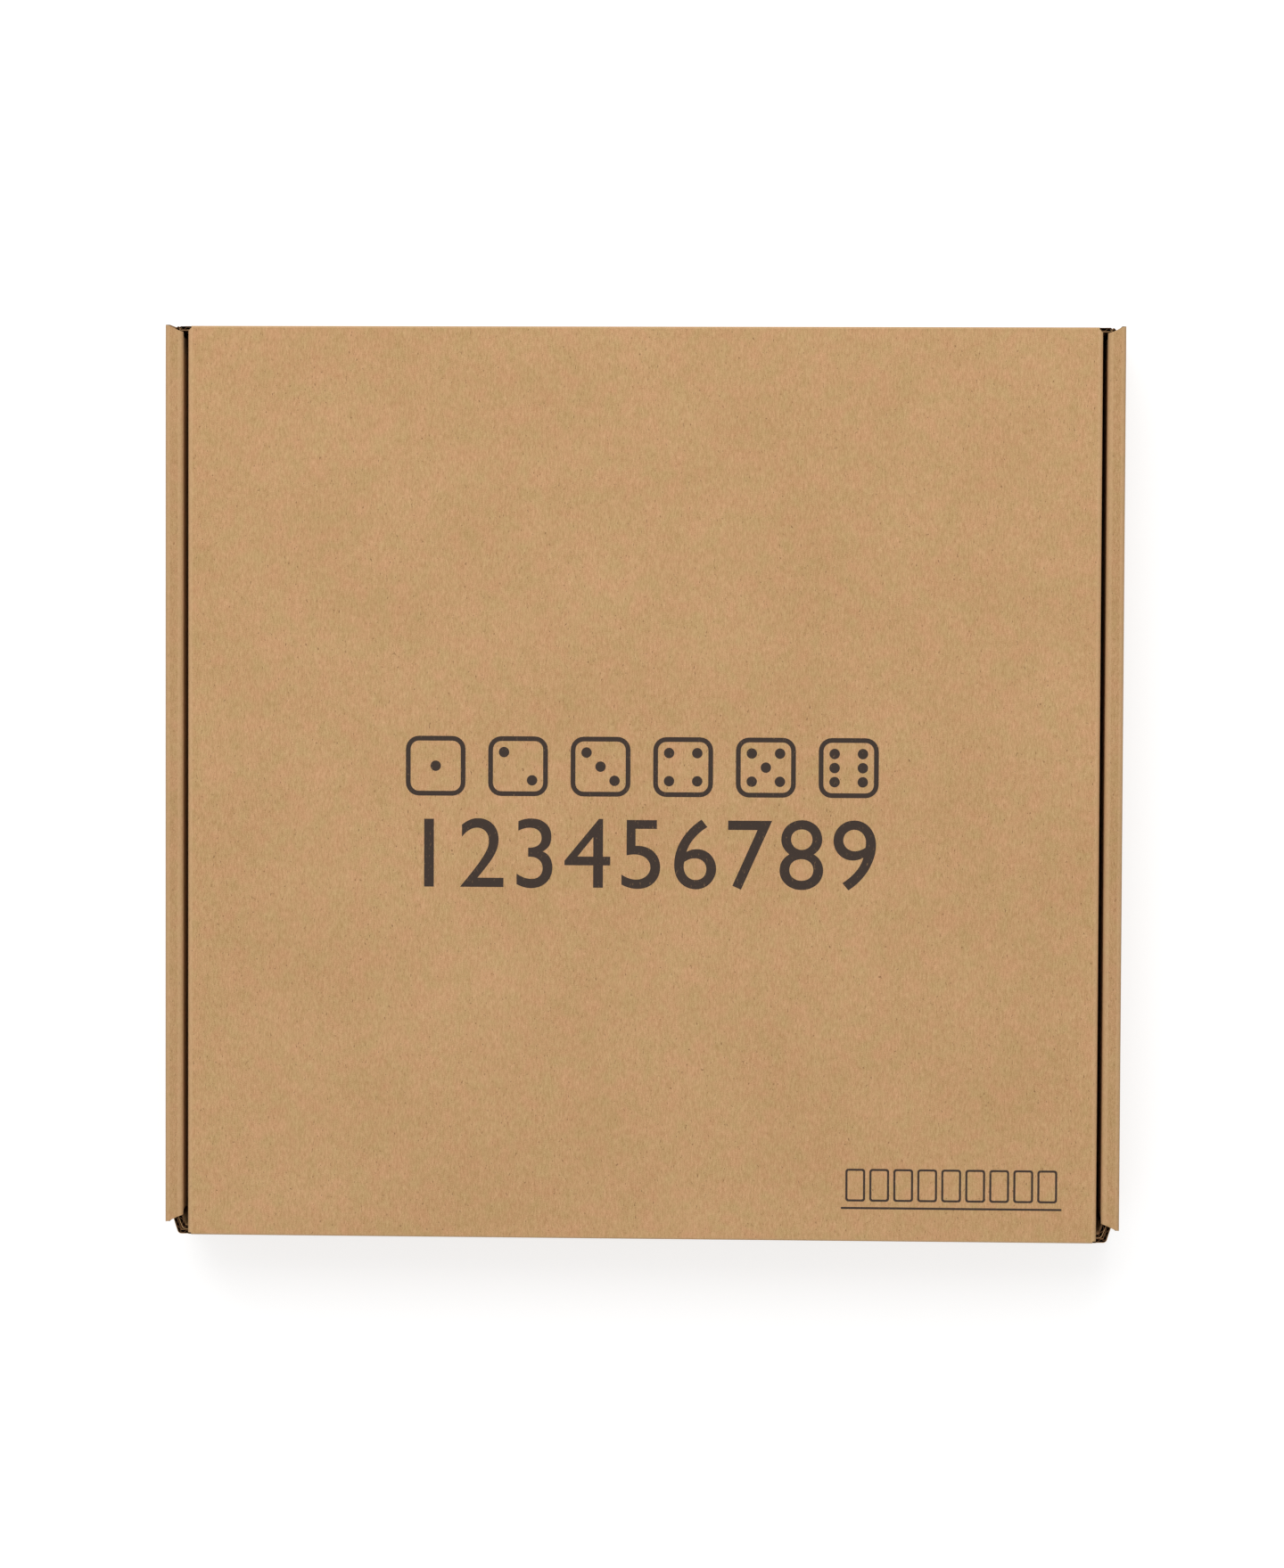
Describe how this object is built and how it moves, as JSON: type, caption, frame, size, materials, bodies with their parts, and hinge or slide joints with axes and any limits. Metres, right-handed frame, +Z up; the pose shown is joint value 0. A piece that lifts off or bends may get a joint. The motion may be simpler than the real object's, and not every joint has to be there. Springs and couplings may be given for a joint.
{
  "type": "shut the box game",
  "caption": "Square shut the box game: racks of flip-over number tiles round a felt tray, with dice, in a kraft mailer carton with a hinged tuck-in lid.",
  "frame": {"origin": "middle of the carton's footprint, on the surface it rests on", "axes": "+X to the right of the lid, +Y from the tuck flap to the lid's hinge, +Z up"},
  "size_m": [0.3202, 0.3058, 0.0483],
  "materials": {
    "kraft": "matte",
    "frame_wood": "satin",
    "tile_wood": "satin",
    "felt": "matte",
    "steel": "satin",
    "dice": "gloss"
  },
  "bodies": {
    "root": {"base_panel": "kraft", "back_wall": "kraft", "front_wall": "kraft", "left_outer_wall": "kraft", "right_outer_wall": "kraft", "left_inner_wall": "kraft", "right_inner_wall": "kraft", "corner_flaps": "kraft", "tray_floor": "frame_wood", "front_rail": "frame_wood", "back_rail": "frame_wood", "left_rail": "frame_wood", "right_rail": "frame_wood", "felt": "felt", "corner_blocks": "frame_wood", "rods": "steel", "die_1": "dice", "die_2": "dice"},
    "lid": {"lid_panel": "kraft", "left_dust_flap": "kraft", "right_dust_flap": "kraft"},
    "front_flap": {"front_flap": "kraft", "left_ear": "kraft", "right_ear": "kraft"},
    "tile_right_1": {"tile_right_1": "tile_wood"},
    "tile_right_2": {"tile_right_2": "tile_wood"},
    "tile_right_3": {"tile_right_3": "tile_wood"},
    "tile_right_4": {"tile_right_4": "tile_wood"},
    "tile_right_5": {"tile_right_5": "tile_wood"},
    "tile_right_6": {"tile_right_6": "tile_wood"},
    "tile_right_7": {"tile_right_7": "tile_wood"},
    "tile_right_8": {"tile_right_8": "tile_wood"},
    "tile_right_9": {"tile_right_9": "tile_wood"},
    "tile_back_1": {"tile_back_1": "tile_wood"},
    "tile_back_2": {"tile_back_2": "tile_wood"},
    "tile_back_3": {"tile_back_3": "tile_wood"},
    "tile_back_4": {"tile_back_4": "tile_wood"},
    "tile_back_5": {"tile_back_5": "tile_wood"},
    "tile_back_6": {"tile_back_6": "tile_wood"},
    "tile_back_7": {"tile_back_7": "tile_wood"},
    "tile_back_8": {"tile_back_8": "tile_wood"},
    "tile_back_9": {"tile_back_9": "tile_wood"},
    "tile_left_1": {"tile_left_1": "tile_wood"},
    "tile_left_2": {"tile_left_2": "tile_wood"},
    "tile_left_3": {"tile_left_3": "tile_wood"},
    "tile_left_4": {"tile_left_4": "tile_wood"},
    "tile_left_5": {"tile_left_5": "tile_wood"},
    "tile_left_6": {"tile_left_6": "tile_wood"},
    "tile_left_7": {"tile_left_7": "tile_wood"},
    "tile_left_8": {"tile_left_8": "tile_wood"},
    "tile_left_9": {"tile_left_9": "tile_wood"},
    "tile_front_1": {"tile_front_1": "tile_wood"},
    "tile_front_2": {"tile_front_2": "tile_wood"},
    "tile_front_3": {"tile_front_3": "tile_wood"},
    "tile_front_4": {"tile_front_4": "tile_wood"},
    "tile_front_5": {"tile_front_5": "tile_wood"},
    "tile_front_6": {"tile_front_6": "tile_wood"},
    "tile_front_7": {"tile_front_7": "tile_wood"},
    "tile_front_8": {"tile_front_8": "tile_wood"},
    "tile_front_9": {"tile_front_9": "tile_wood"}
  },
  "joints": [
    {"name": "lid_fold", "type": "hinge", "parent": "root", "child": "lid", "pos_m": [0, 0.15138, 0.04759], "axis": [-1, 0, 0], "range_deg": [0, 180], "deforming": ["left_ear", "right_ear"]},
    {"name": "front_flap_fold", "type": "hinge", "parent": "lid", "child": "front_flap", "pos_m": [0, -0.15218, 0.04759], "axis": [-1, 0, 0], "range_deg": [0, 90]},
    {"name": "tile_right_1_flip", "type": "hinge", "parent": "root", "child": "tile_right_1", "pos_m": [0.1251, 0.0004, 0.0092], "axis": [0, 1, 0], "range_deg": [0, 115]},
    {"name": "tile_right_2_flip", "type": "hinge", "parent": "root", "child": "tile_right_2", "pos_m": [0.1251, 0.0004, 0.0092], "axis": [0, 1, 0], "range_deg": [0, 115]},
    {"name": "tile_right_3_flip", "type": "hinge", "parent": "root", "child": "tile_right_3", "pos_m": [0.1251, 0.0004, 0.0092], "axis": [0, 1, 0], "range_deg": [0, 115]},
    {"name": "tile_right_4_flip", "type": "hinge", "parent": "root", "child": "tile_right_4", "pos_m": [0.1251, 0.0004, 0.0092], "axis": [0, 1, 0], "range_deg": [0, 115]},
    {"name": "tile_right_5_flip", "type": "hinge", "parent": "root", "child": "tile_right_5", "pos_m": [0.1251, 0.0004, 0.0092], "axis": [0, 1, 0], "range_deg": [0, 115]},
    {"name": "tile_right_6_flip", "type": "hinge", "parent": "root", "child": "tile_right_6", "pos_m": [0.1251, 0.0004, 0.0092], "axis": [0, 1, 0], "range_deg": [0, 115]},
    {"name": "tile_right_7_flip", "type": "hinge", "parent": "root", "child": "tile_right_7", "pos_m": [0.1251, 0.0004, 0.0092], "axis": [0, 1, 0], "range_deg": [0, 115]},
    {"name": "tile_right_8_flip", "type": "hinge", "parent": "root", "child": "tile_right_8", "pos_m": [0.1251, 0.0004, 0.0092], "axis": [0, 1, 0], "range_deg": [0, 115]},
    {"name": "tile_right_9_flip", "type": "hinge", "parent": "root", "child": "tile_right_9", "pos_m": [0.1251, 0.0004, 0.0092], "axis": [0, 1, 0], "range_deg": [0, 115]},
    {"name": "tile_back_1_flip", "type": "hinge", "parent": "root", "child": "tile_back_1", "pos_m": [0, 0.1255, 0.0092], "axis": [-1, 0, 0], "range_deg": [0, 115]},
    {"name": "tile_back_2_flip", "type": "hinge", "parent": "root", "child": "tile_back_2", "pos_m": [0, 0.1255, 0.0092], "axis": [-1, 0, 0], "range_deg": [0, 115]},
    {"name": "tile_back_3_flip", "type": "hinge", "parent": "root", "child": "tile_back_3", "pos_m": [0, 0.1255, 0.0092], "axis": [-1, 0, 0], "range_deg": [0, 115]},
    {"name": "tile_back_4_flip", "type": "hinge", "parent": "root", "child": "tile_back_4", "pos_m": [0, 0.1255, 0.0092], "axis": [-1, 0, 0], "range_deg": [0, 115]},
    {"name": "tile_back_5_flip", "type": "hinge", "parent": "root", "child": "tile_back_5", "pos_m": [0, 0.1255, 0.0092], "axis": [-1, 0, 0], "range_deg": [0, 115]},
    {"name": "tile_back_6_flip", "type": "hinge", "parent": "root", "child": "tile_back_6", "pos_m": [0, 0.1255, 0.0092], "axis": [-1, 0, 0], "range_deg": [0, 115]},
    {"name": "tile_back_7_flip", "type": "hinge", "parent": "root", "child": "tile_back_7", "pos_m": [0, 0.1255, 0.0092], "axis": [-1, 0, 0], "range_deg": [0, 115]},
    {"name": "tile_back_8_flip", "type": "hinge", "parent": "root", "child": "tile_back_8", "pos_m": [0, 0.1255, 0.0092], "axis": [-1, 0, 0], "range_deg": [0, 115]},
    {"name": "tile_back_9_flip", "type": "hinge", "parent": "root", "child": "tile_back_9", "pos_m": [0, 0.1255, 0.0092], "axis": [-1, 0, 0], "range_deg": [0, 115]},
    {"name": "tile_left_1_flip", "type": "hinge", "parent": "root", "child": "tile_left_1", "pos_m": [-0.1251, 0.0004, 0.0092], "axis": [0, -1, 0], "range_deg": [0, 115]},
    {"name": "tile_left_2_flip", "type": "hinge", "parent": "root", "child": "tile_left_2", "pos_m": [-0.1251, 0.0004, 0.0092], "axis": [0, -1, 0], "range_deg": [0, 115]},
    {"name": "tile_left_3_flip", "type": "hinge", "parent": "root", "child": "tile_left_3", "pos_m": [-0.1251, 0.0004, 0.0092], "axis": [0, -1, 0], "range_deg": [0, 115]},
    {"name": "tile_left_4_flip", "type": "hinge", "parent": "root", "child": "tile_left_4", "pos_m": [-0.1251, 0.0004, 0.0092], "axis": [0, -1, 0], "range_deg": [0, 115]},
    {"name": "tile_left_5_flip", "type": "hinge", "parent": "root", "child": "tile_left_5", "pos_m": [-0.1251, 0.0004, 0.0092], "axis": [0, -1, 0], "range_deg": [0, 115]},
    {"name": "tile_left_6_flip", "type": "hinge", "parent": "root", "child": "tile_left_6", "pos_m": [-0.1251, 0.0004, 0.0092], "axis": [0, -1, 0], "range_deg": [0, 115]},
    {"name": "tile_left_7_flip", "type": "hinge", "parent": "root", "child": "tile_left_7", "pos_m": [-0.1251, 0.0004, 0.0092], "axis": [0, -1, 0], "range_deg": [0, 115]},
    {"name": "tile_left_8_flip", "type": "hinge", "parent": "root", "child": "tile_left_8", "pos_m": [-0.1251, 0.0004, 0.0092], "axis": [0, -1, 0], "range_deg": [0, 115]},
    {"name": "tile_left_9_flip", "type": "hinge", "parent": "root", "child": "tile_left_9", "pos_m": [-0.1251, 0.0004, 0.0092], "axis": [0, -1, 0], "range_deg": [0, 115]},
    {"name": "tile_front_1_flip", "type": "hinge", "parent": "root", "child": "tile_front_1", "pos_m": [0, -0.1247, 0.0092], "axis": [1, 0, 0], "range_deg": [0, 115]},
    {"name": "tile_front_2_flip", "type": "hinge", "parent": "root", "child": "tile_front_2", "pos_m": [0, -0.1247, 0.0092], "axis": [1, 0, 0], "range_deg": [0, 115]},
    {"name": "tile_front_3_flip", "type": "hinge", "parent": "root", "child": "tile_front_3", "pos_m": [0, -0.1247, 0.0092], "axis": [1, 0, 0], "range_deg": [0, 115]},
    {"name": "tile_front_4_flip", "type": "hinge", "parent": "root", "child": "tile_front_4", "pos_m": [0, -0.1247, 0.0092], "axis": [1, 0, 0], "range_deg": [0, 115]},
    {"name": "tile_front_5_flip", "type": "hinge", "parent": "root", "child": "tile_front_5", "pos_m": [0, -0.1247, 0.0092], "axis": [1, 0, 0], "range_deg": [0, 115]},
    {"name": "tile_front_6_flip", "type": "hinge", "parent": "root", "child": "tile_front_6", "pos_m": [0, -0.1247, 0.0092], "axis": [1, 0, 0], "range_deg": [0, 115]},
    {"name": "tile_front_7_flip", "type": "hinge", "parent": "root", "child": "tile_front_7", "pos_m": [0, -0.1247, 0.0092], "axis": [1, 0, 0], "range_deg": [0, 115]},
    {"name": "tile_front_8_flip", "type": "hinge", "parent": "root", "child": "tile_front_8", "pos_m": [0, -0.1247, 0.0092], "axis": [1, 0, 0], "range_deg": [0, 115]},
    {"name": "tile_front_9_flip", "type": "hinge", "parent": "root", "child": "tile_front_9", "pos_m": [0, -0.1247, 0.0092], "axis": [1, 0, 0], "range_deg": [0, 115]}
  ]
}
